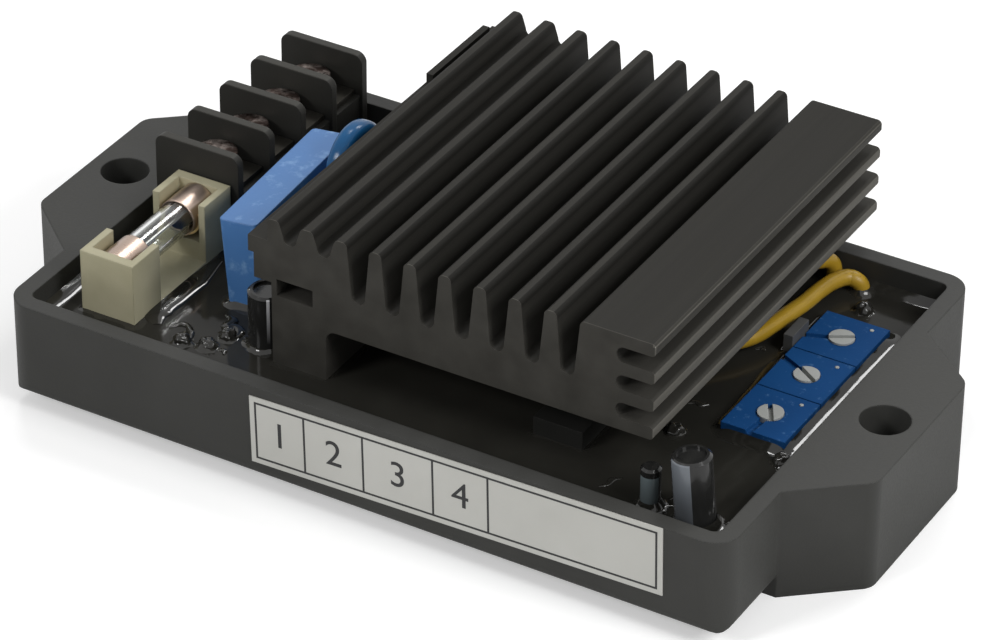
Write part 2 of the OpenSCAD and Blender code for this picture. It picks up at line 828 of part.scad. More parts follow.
module strip_body(grow = 0) {
    block([strip_x - strip_base_w / 2, strip_front, board_top], [strip_base_w, strip_l, strip_base_h], grow);
    for (i = [0 : ways])
        translate([strip_x - plate_w / 2 - grow, 0, board_top])
            along_y(strip_front + i * pitch - grow, plate_t + 2 * grow)
                if (grow > 0)
                    square([plate_w + 2 * grow, plate_h]);
                else
                    plate_outline();
}

module terminal_block() {
    color([0.1, 0.1, 0.1])
        difference() {
            strip_body();
            for (y = terminal_y) {
                post([strip_x, y], screw_d + 2 * fit, contact_z - terminal_shank - 0.5, terminal_shank + 1);
                post([strip_x + contact_pin_x, y], contact_pin_d + 2 * fit, board_top - 1, strip_base_h + 2);
            }
        }
}

module terminal_plates() {
    color([0.75, 0.75, 0.72])
        for (y = terminal_y) {
            difference() {
                block([strip_x - contact_l / 2, y - way_w / 2, contact_z], [contact_l, way_w, contact_t]);
                post([strip_x, y], screw_d + 2 * fit, contact_z - 1, contact_t + 2);
            }
            post([strip_x + contact_pin_x, y], contact_pin_d, board_z - lead_end,
                 contact_z - board_z + lead_end + contact_t / 2);
        }
}

module terminal_screws() {
    color([0.78, 0.78, 0.76])
        for (y = terminal_y) {
            difference() {
                post([strip_x, y], head_d, contact_z + contact_t, terminal_head_h);
                translate([strip_x, y, contact_z + contact_t + terminal_head_h])
                    cube([head_d + 1, 0.9, 1.6], center = true);
            }
            post([strip_x, y], screw_d, contact_z - terminal_shank, terminal_shank + contact_t + 0.5);
        }
}

// Parts that stand in the resin

module film_body(grow = 0) {
    translate([film_x, film_y, board_top])
        rotate([0, -film_lean, film_turn])
            translate([film_t / 2, film_l / 2, -grow])
                linear_extrude(film_h + 2 * grow)
                    rounded_rect(film_t + 2 * grow, film_l + 2 * grow, film_r + grow);
}

module film_capacitor() {
    color([0.4, 0.6, 0.85]) {
        film_body();
        leads(film_leads, board_top + film_lead_in);
    }
}

module varistor() {
    r = varistor_d / 2;
    half = varistor_t / 2;
    color([0.25, 0.5, 0.75]) {
        translate([varistor_x, varistor_y, varistor_z])
            rotate([0, 90, 0])
                rotate_extrude()
                    polygon([
                        [0, -half], [r - 2 * varistor_edge, -half],
                        [r - 0.6 * varistor_edge, -half + 0.4 * varistor_edge],
                        [r, -half + 1.3 * varistor_edge], [r, half - 1.3 * varistor_edge],
                        [r - 0.6 * varistor_edge, half - 0.4 * varistor_edge],
                        [r - 2 * varistor_edge, half], [0, half]
                    ]);
        leads(varistor_leads, varistor_z);
    }
}

module can(h) {
    rotate_extrude()
        polygon([
            [0, 0], [can_d / 2, 0], [can_d / 2, h - can_crimp], [can_d / 2 - can_crimp, h],
            [can_d / 2 - 2 * can_crimp, h], [can_d / 2 - 2 * can_crimp, h - can_crimp], [0, h - can_crimp]
        ]);
}

module front_can_place() {
    translate([front_can[0], front_can[1], front_can_z])
        rotate([0, -can_lean, 0])
            children();
}

module small_capacitor() {
    color([0.12, 0.12, 0.12]) {
        translate([small_can[0], small_can[1], board_top])
            can(small_can_h);
        leads(small_can_leads, board_top + can_lead_in);
    }
}

module electrolytic_capacitor() {
    color([0.12, 0.12, 0.12]) {
        front_can_place()
            can(front_can_h);
        leads(front_can_leads, board_top + can_lead_in);
    }
}

module domed_post(at, d, h) {
    intersection() {
        post(at, d, board_top, h);
        translate([at[0], at[1], board_top + h - 0.75 * d])
            sphere(r = 0.75 * d, $fn = 32);
        block([at[0] - d, at[1] - d, board_top], [2 * d, 2 * d, h]);
    }
    post(at, d, board_top, h - 0.5 * d);
}

module standing_diode() {
    color([0.14, 0.14, 0.14]) {
        translate([diode_at[0], diode_at[1], board_top])
            rotate_extrude()
                polygon([
                    [0, 0], [diode_d / 2, 0], [diode_d / 2, diode_h - diode_edge],
                    [diode_d / 2 - diode_edge, diode_h], [0, diode_h]
                ]);
        leads([diode_at], board_top + 1);
    }
}

module coated_resistors() {
    color([0.1, 0.1, 0.1])
        for (p = coated_at) {
            domed_post(p, coated_d, coated_h);
            leads([p], board_top + 1);
        }
}

module snubber_capacitor() {
    color([0.2, 0.2, 0.21]) {
        block([snubber_at[0], snubber_at[1], board_top], snubber_size);
        leads(snubber_leads, board_top + 1);
    }
}

module chip_capacitor() {
    color([0.45, 0.45, 0.45]) {
        block([chip_at[0], chip_at[1], board_top], chip_size);
        leads(chip_leads, board_top + 1);
    }
}

module lead_a() {
    color([0.95, 0.75, 0.1])
        tube(wire_a, wire_r);
}

module lead_b() {
    color([0.95, 0.75, 0.1])
        tube(wire_b, wire_r);
}

// Trimmers with turning rotors

module trimmer_body(i) {
    top = board_top + trim_h;
    color([0.1, 0.3, 0.65]) {
        difference() {
            block([trim_x - trim_w / 2, trim_y[i] - trim_l / 2, board_top], [trim_w, trim_l, trim_h]);
            post([trim_x, trim_y[i]], rotor_d + 2 * run_gap, top - rotor_depth - fit, rotor_depth + 1);
            translate([trim_x, trim_y[i], top])
                rotate([0, 0, trim_groove[i]])
                    translate([0, -trim_groove_w / 2, -trim_groove_deep])
                        cube([trim_l, trim_groove_w, 1]);
        }
        leads(trim_leads(i), board_top + 1);
    }
}

module trimmer_rotor(i) {
    top = board_top + trim_h + rotor_rise;
    color([0.92, 0.92, 0.9])
        difference() {
            post([trim_x, trim_y[i]], rotor_d, top - rotor_depth - rotor_rise, rotor_depth + rotor_rise);
            translate([trim_x, trim_y[i], top])
                rotate([0, 0, trim_slot[i]])
                    cube([rotor_d + 1, rotor_slot[0], 2 * rotor_slot[1]], center = true);
        }
}

module trimmer_body_1() {
    trimmer_body(0);
}

module trimmer_body_2() {
    trimmer_body(1);
}

module trimmer_body_3() {
    trimmer_body(2);
}

module trimmer_rotor_1() {
    trimmer_rotor(0);
}

module trimmer_rotor_2() {
    trimmer_rotor(1);
}

module trimmer_rotor_3() {
    trimmer_rotor(2);
}

// Marking strip on the front wall

module label() {
    color([0.93, 0.93, 0.92])
        translate([label_x, -tray_w / 2 - label_t / 2, label_z])
            rotate([0, -label_turn, 0])
                cube([label_l, label_t, label_h], center = true);
}

tray();
circuit_board();
potting();
heat_sink();
heat_sink_screws();
thyristor();
flywheel_diode();
device_screws();
fuse_holder();
fuse_clips();
fuse_glass();
fuse_caps();
fuse_wire();
terminal_block();
terminal_plates();
terminal_screws();
film_capacitor();
varistor();
small_capacitor();
electrolytic_capacitor();
standing_diode();
snubber_capacitor();
chip_capacitor();
coated_resistors();
lead_a();
lead_b();
trimmer_body_1();
trimmer_body_2();
trimmer_body_3();
trimmer_rotor_1();
trimmer_rotor_2();
trimmer_rotor_3();
label();
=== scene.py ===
import math

import bmesh
import bpy
from mathutils import Matrix, Vector


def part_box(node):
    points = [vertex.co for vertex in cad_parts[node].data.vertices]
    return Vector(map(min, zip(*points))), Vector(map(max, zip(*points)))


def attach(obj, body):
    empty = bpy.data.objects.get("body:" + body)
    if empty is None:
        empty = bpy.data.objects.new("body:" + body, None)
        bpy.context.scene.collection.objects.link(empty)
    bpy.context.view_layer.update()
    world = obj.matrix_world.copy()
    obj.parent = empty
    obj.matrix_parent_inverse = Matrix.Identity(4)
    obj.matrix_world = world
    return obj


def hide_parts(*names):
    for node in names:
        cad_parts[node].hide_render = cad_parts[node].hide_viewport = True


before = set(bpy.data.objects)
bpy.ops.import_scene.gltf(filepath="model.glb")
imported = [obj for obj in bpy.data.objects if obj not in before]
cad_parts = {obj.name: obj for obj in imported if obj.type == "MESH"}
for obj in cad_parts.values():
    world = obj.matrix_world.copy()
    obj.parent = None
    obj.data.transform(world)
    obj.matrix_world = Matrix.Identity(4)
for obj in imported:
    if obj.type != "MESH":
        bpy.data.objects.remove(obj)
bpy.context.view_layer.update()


# Tray: one black thermoplastic moulding with a bolt-down ear at each end.
# The tool's fine satin grain shows on the walls, and every edge is a little rounded.
mm = 0.001


def effect_group(name, inputs, outputs):
    """A new shader group with named inputs of some kind, and outputs that are plain values."""
    group = bpy.data.node_groups.new(name, "ShaderNodeTree")
    for label, kind in inputs:
        group.interface.new_socket(label, in_out="INPUT", socket_type="NodeSocket" + kind)
    for label in outputs:
        group.interface.new_socket(label, in_out="OUTPUT", socket_type="NodeSocketFloat")
    given = group.nodes.new("NodeGroupInput")
    result = group.nodes.new("NodeGroupOutput")
    return group, given.outputs, result.inputs


def surface_grain():
    """Group shared by moulded, cast and extruded surfaces: slow tone, fine grain, soft smears."""
    tone_span = (0.3, 0.7)
    grain_in_smear = 0.45
    group, given, result = effect_group(
        "surface_grain", (("Stretch", "Vector"), ("Drift Scale", "Float"), ("Grain Scale", "Float")),
        ("Tone", "Smear", "Height"))
    place = group.nodes.new("ShaderNodeTexCoord")
    stretch = group.nodes.new("ShaderNodeVectorMath")
    stretch.operation = "MULTIPLY"
    group.links.new(place.outputs["Object"], stretch.inputs[0])
    group.links.new(given["Stretch"], stretch.inputs[1])
    fields = {}
    for label, scale, detail in (("drift", "Drift Scale", 4.0), ("grain", "Grain Scale", 2.0)):
        field = group.nodes.new("ShaderNodeTexNoise")
        field.inputs["Detail"].default_value = detail
        group.links.new(stretch.outputs["Vector"], field.inputs["Vector"])
        group.links.new(given[scale], field.inputs["Scale"])
        fields[label] = field.outputs["Fac"]
    tone = group.nodes.new("ShaderNodeMapRange")
    tone.inputs["From Min"].default_value = tone_span[0]
    tone.inputs["From Max"].default_value = tone_span[1]
    smear = group.nodes.new("ShaderNodeMath")
    smear.operation = "MULTIPLY_ADD"
    smear.inputs[1].default_value = grain_in_smear
    group.links.new(fields["drift"], tone.inputs["Value"])
    group.links.new(fields["grain"], smear.inputs[0])
    group.links.new(fields["drift"], smear.inputs[2])
    group.links.new(tone.outputs["Result"], result["Tone"])
    group.links.new(smear.outputs["Value"], result["Smear"])
    group.links.new(fields["grain"], result["Height"])
    return group


def put_group(tree, group, values):
    """Places a shared group in a material with that material's own values."""
    effect = tree.nodes.new("ShaderNodeGroup")
    effect.node_tree = group
    for label, value in values.items():
        effect.inputs[label].default_value = value
    return effect.outputs


def colour_mix(tree, mask, tint, blend="MIX"):
    """A mix by a mask towards a tint: gives the socket for the colour below, and the result."""
    mix = tree.nodes.new("ShaderNodeMix")
    mix.data_type = "RGBA"
    mix.blend_type = blend
    factor, below, above = mix.inputs[0], mix.inputs[6], mix.inputs[7]
    above.default_value = (*tint, 1)
    tree.links.new(mask, factor)
    return below, mix.outputs[2]


grain_tree = surface_grain()


def grained(name, deep, pale, rough, grain, relief, edge=0.0, drift=60.0, stretch=(1, 1, 1),
            specular=0.5, metallic=0.0):
    """A finish with the shared grain: two tones, a roughness range, bump and softened edges."""
    smear_span = (0.45, 0.95)
    material = bpy.data.materials.new(name)
    material.use_nodes = True
    tree = material.node_tree
    shader = tree.nodes["Principled BSDF"]
    shader.inputs["Metallic"].default_value = metallic
    shader.inputs["Specular IOR Level"].default_value = specular
    surface = put_group(tree, grain_tree, {"Stretch": stretch, "Drift Scale": drift, "Grain Scale": grain})
    below, tone = colour_mix(tree, surface["Tone"], pale)
    below.default_value = (*deep, 1)
    tree.links.new(tone, shader.inputs["Base Color"])
    gloss = tree.nodes.new("ShaderNodeMapRange")
    gloss.inputs["From Min"].default_value = smear_span[0]
    gloss.inputs["From Max"].default_value = smear_span[1]
    gloss.inputs["To Min"].default_value = rough[0]
    gloss.inputs["To Max"].default_value = rough[1]
    tree.links.new(surface["Smear"], gloss.inputs["Value"])
    tree.links.new(gloss.outputs["Result"], shader.inputs["Roughness"])
    bump = tree.nodes.new("ShaderNodeBump")
    bump.inputs["Distance"].default_value = relief
    tree.links.new(surface["Height"], bump.inputs["Height"])
    tree.links.new(bump.outputs["Normal"], shader.inputs["Normal"])
    if edge > 0:
        rounding = tree.nodes.new("ShaderNodeBevel")
        rounding.inputs["Radius"].default_value = edge
        tree.links.new(rounding.outputs["Normal"], bump.inputs["Normal"])
    return material


def finish_nodes(material, *names):
    """Gives CAD nodes their finish."""
    for name in names:
        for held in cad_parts[name].material_slots:
            held.material = material


tray_plastic = grained("tray_plastic", deep=(0.032, 0.032, 0.0295), pale=(0.042, 0.042, 0.039),
                       rough=(0.42, 0.58), grain=3200, relief=0.015 * mm, edge=0.35 * mm, specular=0.2)
finish_nodes(tray_plastic, "tray")


# Circuit board: glass-fibre sheet under green lacquer, on the tray's four pillars.
# The resin buries it, so its finish is plain.
board_lacquer = grained("board_lacquer", deep=(0.015, 0.06, 0.02), pale=(0.02, 0.09, 0.03),
                        rough=(0.25, 0.4), grain=900, relief=0.01 * mm)
finish_nodes(board_lacquer, "circuit_board")


# Resin: black casting compound poured to a few millimetres below the rim.
# It has set glossy with a slow ripple, and it creeps up the tray's walls and whatever
# stands in it. Smooth poured edges and small uneven runs have set on its surface.
board_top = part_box("circuit_board")[1].z
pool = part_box("potting")[1]
resin_top = pool.z
resin_gloss = grained("resin_gloss", deep=(0.017, 0.0165, 0.014), pale=(0.025, 0.024, 0.0205),
                      rough=(0.05, 0.12), grain=150, relief=0.1 * mm, drift=90, specular=0.14)
finish_nodes(resin_gloss, "potting")


def select_only(piece):
    bpy.ops.object.select_all(action="DESELECT")
    piece.select_set(True)
    bpy.context.view_layer.objects.active = piece


def set_edit(piece):
    select_only(piece)
    bpy.ops.object.mode_set(mode="EDIT")


def set_place():
    """Puts the place, turn and size of the piece in hand into its mesh."""
    bpy.ops.object.transform_apply(location=True, rotation=True, scale=True)


def flat_plate(half_x, half_y, at=(0, 0, 0)):
    bpy.ops.object.select_all(action="DESELECT")
    bpy.ops.mesh.primitive_plane_add(size=2)
    plate = bpy.context.object
    plate.scale = (half_x, half_y, 1)
    plate.location = at
    set_place()
    return plate


def flat_disc(radius, sides, at=(0, 0, 0)):
    bpy.ops.object.select_all(action="DESELECT")
    bpy.ops.mesh.primitive_circle_add(vertices=sides, radius=radius, fill_type="NGON", location=at)
    set_place()
    return bpy.context.object


def hold_faces():
    bpy.ops.mesh.select_mode(type="FACE")
    bpy.ops.mesh.select_all(action="SELECT")


def push_up(lift):
    bpy.ops.mesh.extrude_region_move(TRANSFORM_OT_translate={"value": (0, 0, lift)})


def leave_edit():
    """Turns all faces of the piece in hand outwards and leaves edit mode."""
    bpy.ops.mesh.select_all(action="SELECT")
    bpy.ops.mesh.normals_make_consistent(inside=False)
    bpy.ops.object.mode_set(mode="OBJECT")


def close_ring():
    """Deletes the two end faces of the swept ring in hand and joins their rims underneath."""
    bpy.ops.mesh.delete(type="ONLY_FACE")
    shape = bmesh.from_edit_mesh(bpy.context.object.data)
    largest = max(shape.faces, key=lambda face: face.calc_area())
    bpy.ops.mesh.select_all(action="DESELECT")
    largest.select = True
    bmesh.update_edit_mesh(bpy.context.object.data)
    bpy.ops.mesh.delete(type="ONLY_FACE")
    bpy.ops.mesh.select_mode(type="EDGE")
    bpy.ops.mesh.select_all(action="DESELECT")
    bpy.ops.mesh.select_non_manifold()
    bpy.ops.mesh.bridge_edge_loops()
    leave_edit()


def divide_edges(piece, longest):
    """Halves the outline's long edges until none is over that length."""
    bpy.ops.mesh.select_mode(type="EDGE")
    while True:
        bpy.ops.mesh.select_all(action="DESELECT")
        outline = bmesh.from_edit_mesh(piece.data)
        long_edges = [line for line in outline.edges if line.calc_length() > longest]
        for line in long_edges:
            line.select = True
        bmesh.update_edit_mesh(piece.data)
        if not long_edges:
            break
        bpy.ops.mesh.subdivide(number_cuts=1)


def creep_ring(at, half, corner, reach, rise, turn=0.0, wall=False):
    """A ring of crept resin: hollow in section, tall against the part and thin at its outside."""
    steps = 6
    hollow = 2.2
    sunk = 0.01 * mm
    grow = 0 if wall else reach
    wide, deep = half[0] + grow, half[1] + grow
    if corner is None:
        ring = flat_disc(wide, sides=32)
        set_edit(ring)
    else:
        ring = flat_plate(wide, deep)
        set_edit(ring)
        bpy.ops.mesh.select_all(action="SELECT")
        bpy.ops.mesh.bevel(offset=corner + grow, segments=6, affect="VERTICES")
        divide_edges(ring, longest=1.5 * mm)
    hold_faces()
    heights = [rise * (k / steps) ** hollow for k in range(steps + 1)]
    if wall:
        heights.reverse()
        push_up(rise)
    for k in range(1, steps + 1):
        push_up(heights[k] - heights[k - 1])
        before, after = reach * (k - 1) / steps, reach * k / steps
        share = ((wide - after) / (wide - before), (deep - after) / (deep - before), 1)
        bpy.ops.transform.resize(value=share, center_override=(0, 0, heights[k]))
    if not wall:
        push_up(-rise)
    close_ring()
    ring.location = (at[0], at[1], resin_top - sunk)
    ring.rotation_euler = (0, 0, math.radians(turn))
    set_place()
    return ring


def join_pieces(pieces, name):
    bpy.ops.object.select_all(action="DESELECT")
    for piece in pieces:
        piece.select_set(True)
    bpy.context.view_layer.objects.active = pieces[0]
    bpy.ops.object.join()
    joined = bpy.context.object
    joined.name = name
    joined.data.name = name
    return joined


def tube(name, points, radius, facets, steps, end_share=1.0):
    """A round tube with closed ends along a smooth line through some points."""
    line = bpy.data.curves.new(name, "CURVE")
    line.dimensions = "3D"
    line.bevel_depth = radius
    line.bevel_resolution = facets
    line.resolution_u = steps
    line.use_fill_caps = True
    spline = line.splines.new("BEZIER")
    spline.bezier_points.add(len(points) - 1)
    for knot, at in zip(spline.bezier_points, points):
        knot.co = at
        knot.handle_left_type = "AUTO"
        knot.handle_right_type = "AUTO"
    for end in (0, -1):
        spline.bezier_points[end].radius = end_share
    drawn = bpy.data.objects.new(name, line)
    bpy.context.scene.collection.objects.link(drawn)
    select_only(drawn)
    bpy.ops.object.convert(target="MESH")
    return bpy.context.object


def ridge(route, half_width, height):
    """A low rounded ridge in the set resin along a route of x, y points in millimetres."""
    swell = tube("ridge", [(x * mm, y * mm, 0) for x, y in route], half_width * mm,
                 facets=8, steps=6, end_share=0.3)
    swell.location = (0, 0, resin_top)
    swell.scale = (1, 1, height / half_width)
    set_place()
    return swell


def roughen(piece, wave, strength, middle=0.5):
    """Moves the surface in and out by slow waves of that length, so that its glints break up."""
    waves = bpy.data.textures.new(piece.name + "_waves", "CLOUDS")
    waves.noise_scale = wave
    waves.noise_depth = 1
    uneven = piece.modifiers.new("uneven", "DISPLACE")
    uneven.texture = waves
    uneven.texture_coords = "GLOBAL"
    uneven.strength = strength
    uneven.mid_level = middle
    bpy.context.view_layer.objects.active = piece
    bpy.ops.object.modifier_apply(modifier=uneven.name)


def coat(piece, material, smooth_below):
    """Gives a new piece its one finish, with faces shaded smooth up to that angle in degrees."""
    select_only(piece)
    bpy.ops.object.shade_smooth_by_angle(angle=math.radians(smooth_below))
    piece.data.materials.clear()
    piece.data.materials.append(material)


# Middle, half size, corner radius, turn in degrees, then the resin's reach and rise, in millimetres.
box_feet = {
    "fuse holder": ((-41.6, -14.0), (4.0, 11.35), 0.2, 0, 1.2, 0.12),
    "barrier strip": ((-42.9, 13.46), (6.4, 15.84), 0.2, 0, 1.4, 0.6),
    "film capacitor": ((-28.29, -2.26), (2.71, 12.5), 0.6, 3.4, 1.4, 0.7),
    "heat sink leg": ((-14.15, 3.8), (3.95, 27.0), 0.2, 0, 0.9, 0.1),
    "trimmers": ((41.75, 6.9), (4.45, 14.45), 0.2, 0, 1.8, 0.75),
    "snubber": ((21.3, -14.0), (3.5, 6.0), 0.2, 0, 0.7, 0.08),
    "chip": ((36.55, 14.05), (0.65, 2.25), 0.1, 0, 0.9, 0.4),
}
small_can_at = (-20.95, -19.8)
front_can_at = (43.84, -26.0)
diode_at = (37.4, -25.7)
varistor_feet = [(-24.2, 3.9), (-24.2, 8.9)]
leg_r = 0.35
lead_a_ends = [(25.6, -0.7), (38.1, 29.65)]
lead_b_ends = [(34.0, 29.6), (29.0, 21.1)]
wire_r = 1.1
coated_spots = [(-30.4, -25.2), (-27.1, -24.5), (-26.0, -21.3), (32.6, -10.6), (40.4, 25.6),
                (46.9, -9.5)]
coated_r = 1.4
coated_foot_r = coated_r - 0.5
# Middle, radius and the resin's rise, in millimetres.
round_feet = [(small_can_at, 2.55, 0.7), (front_can_at, 2.57, 1.1), (diode_at, 1.3, 1.0)]
round_feet += [(at, leg_r, 0.6) for at in varistor_feet]
round_feet += [(at, wire_r, 0.8) for at in lead_a_ends + lead_b_ends]
round_feet += [(at, coated_foot_r, 0.5) for at in coated_spots]
runs = [
    [(38.9, -23.6), (39.3, -22.8), (39.1, -21.9), (39.8, -21.4)],
    [(46.8, -24.6), (47.5, -23.9), (47.3, -22.9)],
    [(38.8, -27.0), (39.4, -26.2), (39.3, -25.2), (40.1, -24.4)],
    [(30.2, -25.6), (30.9, -24.6), (31.0, -23.4), (31.9, -22.5)],
    [(31.0, -4.4), (31.9, -3.7), (32.5, -3.9), (33.4, -3.3)],
    [(32.6, 10.6), (33.3, 11.2), (34.0, 10.9)],
    [(-33.6, -23.6), (-32.4, -21.9), (-31.0, -22.6), (-30.0, -24.0), (-29.6, -26.3)],
    [(-25.8, -24.9), (-24.8, -24.2), (-24.3, -25.0)],
]
edge_route = [(-35.3, -23.6), (-36.8, -21.6), (-36.9, -17.3), (-36.8, -12.8), (-36.8, -7.0)]
curl_route = [(-29.0, -17.3), (-27.4, -18.1), (-27.3, -19.7), (-26.4, -19.2), (-25.2, -20.0),
              (-25.4, -22.0)]
still_parts = [creep_ring((0, 0), (pool.x, pool.y), corner=1.2 * mm, reach=1.9 * mm, rise=1.0 * mm,
                          wall=True)]
for at, half, corner, turn, reach, rise in box_feet.values():
    still_parts.append(creep_ring([v * mm for v in at], [v * mm for v in half], corner * mm,
                                  reach * mm, rise * mm, turn))
still_resin = join_pieces(still_parts, "still_resin")
roughen(still_resin, wave=2.4 * mm, strength=0.12 * mm)
poured_edge = ridge(edge_route, half_width=2.0, height=0.42)
poured_curl = ridge(curl_route, half_width=0.75, height=0.45)
lively_parts = []
for at, radius, rise in round_feet:
    reach = 0.6 + 0.4 * rise
    lively_parts.append(creep_ring([v * mm for v in at], (radius * mm, radius * mm), None,
                                   reach * mm, rise * mm))
lively_parts += [ridge(route, half_width=0.4, height=0.26) for route in runs]
lively_resin = join_pieces(lively_parts, "lively_resin")
roughen(lively_resin, wave=1.2 * mm, strength=0.35 * mm)
crept_resin = join_pieces([still_resin, lively_resin, poured_edge, poured_curl], "crept_resin")
crept_gloss = grained("crept_gloss", deep=(0.017, 0.0165, 0.014), pale=(0.025, 0.024, 0.0205),
                      rough=(0.05, 0.1), grain=300, relief=0.02 * mm, drift=90, specular=0.45)
coat(crept_resin, crept_gloss, smooth_below=50)
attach(crept_resin, "regulator")


# Heat sink: one aluminium extrusion, black anodised, screwed to the board by its leg.
# Fine die lines run along it and its sawn ends are paler. Painted highlights lighten the
# fins' crests, the side fins' tips and the pad's top and outer edge, a painted shade darkens
# a band below the crests, and painted fill light makes the grooves paler with depth.
anodised = grained("anodised", deep=(0.0155, 0.0148, 0.013), pale=(0.0215, 0.0206, 0.0183),
                   rough=(0.46, 0.6), grain=2600, relief=0.012 * mm, drift=260, stretch=(1, 0.02, 1),
                   specular=0.06)


def math_step(tree, operation, *values):
    """One Math node fed by numbers or by other nodes' outputs."""
    step = tree.nodes.new("ShaderNodeMath")
    step.operation = operation
    for socket, value in zip(step.inputs, values):
        if isinstance(value, float):
            socket.default_value = value
        else:
            tree.links.new(value, socket)
    return step.outputs[0]


def axes_of(tree):
    """The place on the surface as separate X, Y and Z values."""
    place = tree.nodes.new("ShaderNodeTexCoord")
    axes = tree.nodes.new("ShaderNodeSeparateXYZ")
    tree.links.new(place.outputs["Object"], axes.inputs["Vector"])
    return axes.outputs


def lay_over(material, mask, tint, blend="MIX"):
    """Lays a tint over a finish's colour where its mask is 1."""
    tree = material.node_tree
    base = tree.nodes["Principled BSDF"].inputs["Base Color"]
    below, result = colour_mix(tree, mask, tint, blend)
    tree.links.new(base.links[0].from_socket, below)
    tree.links.new(result, base)


def pale_where(material, marks):
    """Multiplies a finish's tone by each gain where its mask is 1."""
    for mask, gain in marks:
        lay_over(material, mask, (gain, gain, gain), "MULTIPLY")


sink_low, sink_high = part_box("heat_sink")
sink_tree = anodised.node_tree
sink_at = axes_of(sink_tree)
sawn_depth = 0.1 * mm
tip_depth = 0.12 * mm
crest_z = sink_high.z - 0.05 * mm
shoulder_z = crest_z - 0.9 * mm
pad_x = sink_high.x - 10.5 * mm
# Painted fill light: the fins' faces grow paler from here down to the full depth below.
fill_start_z = sink_high.z - 0.8 * mm
fill_full_z = sink_high.z - 5.0 * mm
# Width of the painted highlight along the pad's outer top edge.
edge_highlight_width = 0.4 * mm


def sink_mask(axis, operation, limit):
    return math_step(sink_tree, operation, sink_at[axis], limit)


def both(first, second):
    return math_step(sink_tree, "MULTIPLY", first, second)


sawn_ends = math_step(sink_tree, "MAXIMUM", sink_mask("Y", "LESS_THAN", sink_low.y + sawn_depth),
                      sink_mask("Y", "GREATER_THAN", sink_high.y - sawn_depth))
not_sawn = math_step(sink_tree, "SUBTRACT", 1.0, sawn_ends)
# Painted highlights on the side fins' outer tips, the fins' crests and the pad's top.
painted_tip_highlights = sink_mask("X", "GREATER_THAN", sink_high.x - tip_depth)
at_top = sink_mask("Z", "GREATER_THAN", crest_z)
on_fins = sink_mask("X", "LESS_THAN", pad_x)
painted_crest_highlights = both(at_top, on_fins)
painted_pad_light = both(at_top, sink_mask("X", "GREATER_THAN", pad_x))
# Painted shade: a darker band just below the fins' crests.
below_crest = both(sink_mask("Z", "LESS_THAN", crest_z), sink_mask("Z", "GREATER_THAN", shoulder_z))
painted_shoulder_shade = both(both(below_crest, on_fins), not_sawn)
# Painted fill light, paler with depth, lifts the shade deep in the grooves.
groove_fill_ramp = sink_tree.nodes.new("ShaderNodeMapRange")
groove_fill_ramp.inputs["From Min"].default_value = fill_start_z
groove_fill_ramp.inputs["From Max"].default_value = fill_full_z
sink_tree.links.new(sink_at["Z"], groove_fill_ramp.inputs["Value"])
painted_groove_fill = both(groove_fill_ramp.outputs["Result"], not_sawn)
# Painted highlight along the pad's outer top edge.
painted_edge_highlight = both(sink_mask("X", "GREATER_THAN", sink_high.x - edge_highlight_width),
                    sink_mask("Z", "GREATER_THAN", sink_high.z - edge_highlight_width))
# Gains over 1 are painted highlights and painted fill light, and the gain under 1 is painted shade; only
# the sawn ends are paler in their own colour.
pale_where(anodised, ((sawn_ends, 2.4), (painted_tip_highlights, 2.2), (painted_crest_highlights, 1.65), (painted_pad_light, 1.32),
                      (painted_edge_highlight, 2.2), (painted_groove_fill, 2.3), (painted_shoulder_shade, 0.76)))
finish_nodes(anodised, "heat_sink")


# Screws: zinc-plated steel, turned bright, under the board and under the power devices.
# Both pairs are driven from below, so little of them shows.
zinc = grained("zinc", deep=(0.42, 0.42, 0.4), pale=(0.55, 0.55, 0.53), rough=(0.25, 0.42), grain=1500,
               relief=0.004 * mm, edge=0.15 * mm, metallic=1.0)
finish_nodes(zinc, "heat_sink_screws", "device_screws")


# Power devices: moulded black epoxy on a metal tab, screwed flat under the heat sink.
# The snubber in the recess below them has the same dull dark epoxy.
device_epoxy = grained("device_epoxy", deep=(0.012, 0.012, 0.011), pale=(0.019, 0.019, 0.0175),
                       rough=(0.45, 0.6), grain=2200, relief=0.012 * mm, edge=0.15 * mm, specular=0.1)
finish_nodes(device_epoxy, "thyristor", "flywheel_diode", "snubber_capacitor")


# Coated resistors: six upright parts that the resin has run over, up to their tops.
# Each is an uneven glossy lump, a little different from the next.
coat_gloss = grained("coat_gloss", deep=(0.015, 0.0145, 0.0125), pale=(0.023, 0.022, 0.019),
                     rough=(0.04, 0.1), grain=500, relief=0.06 * mm, drift=300, specular=0.4)
coat_foot, coat_top = (corner.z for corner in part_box("coated_resistors"))
lump_r = coated_r - 0.1
crown_r = 1.15 * mm


def round_edges(piece, chosen, radius, segments):
    """Bevels the edges of a piece that a test picks."""
    set_edit(piece)
    bpy.ops.mesh.select_mode(type="EDGE")
    bpy.ops.mesh.select_all(action="DESELECT")
    shape = bmesh.from_edit_mesh(piece.data)
    for line in shape.edges:
        line.select = chosen(line)
    bmesh.update_edit_mesh(piece.data)
    bpy.ops.mesh.bevel(offset=radius, segments=segments, profile=0.5, affect="EDGES")
    bpy.ops.object.mode_set(mode="OBJECT")


def on_crown(line):
    return all(abs(corner.co.z - coat_top) < 0.01 * mm for corner in line.verts)


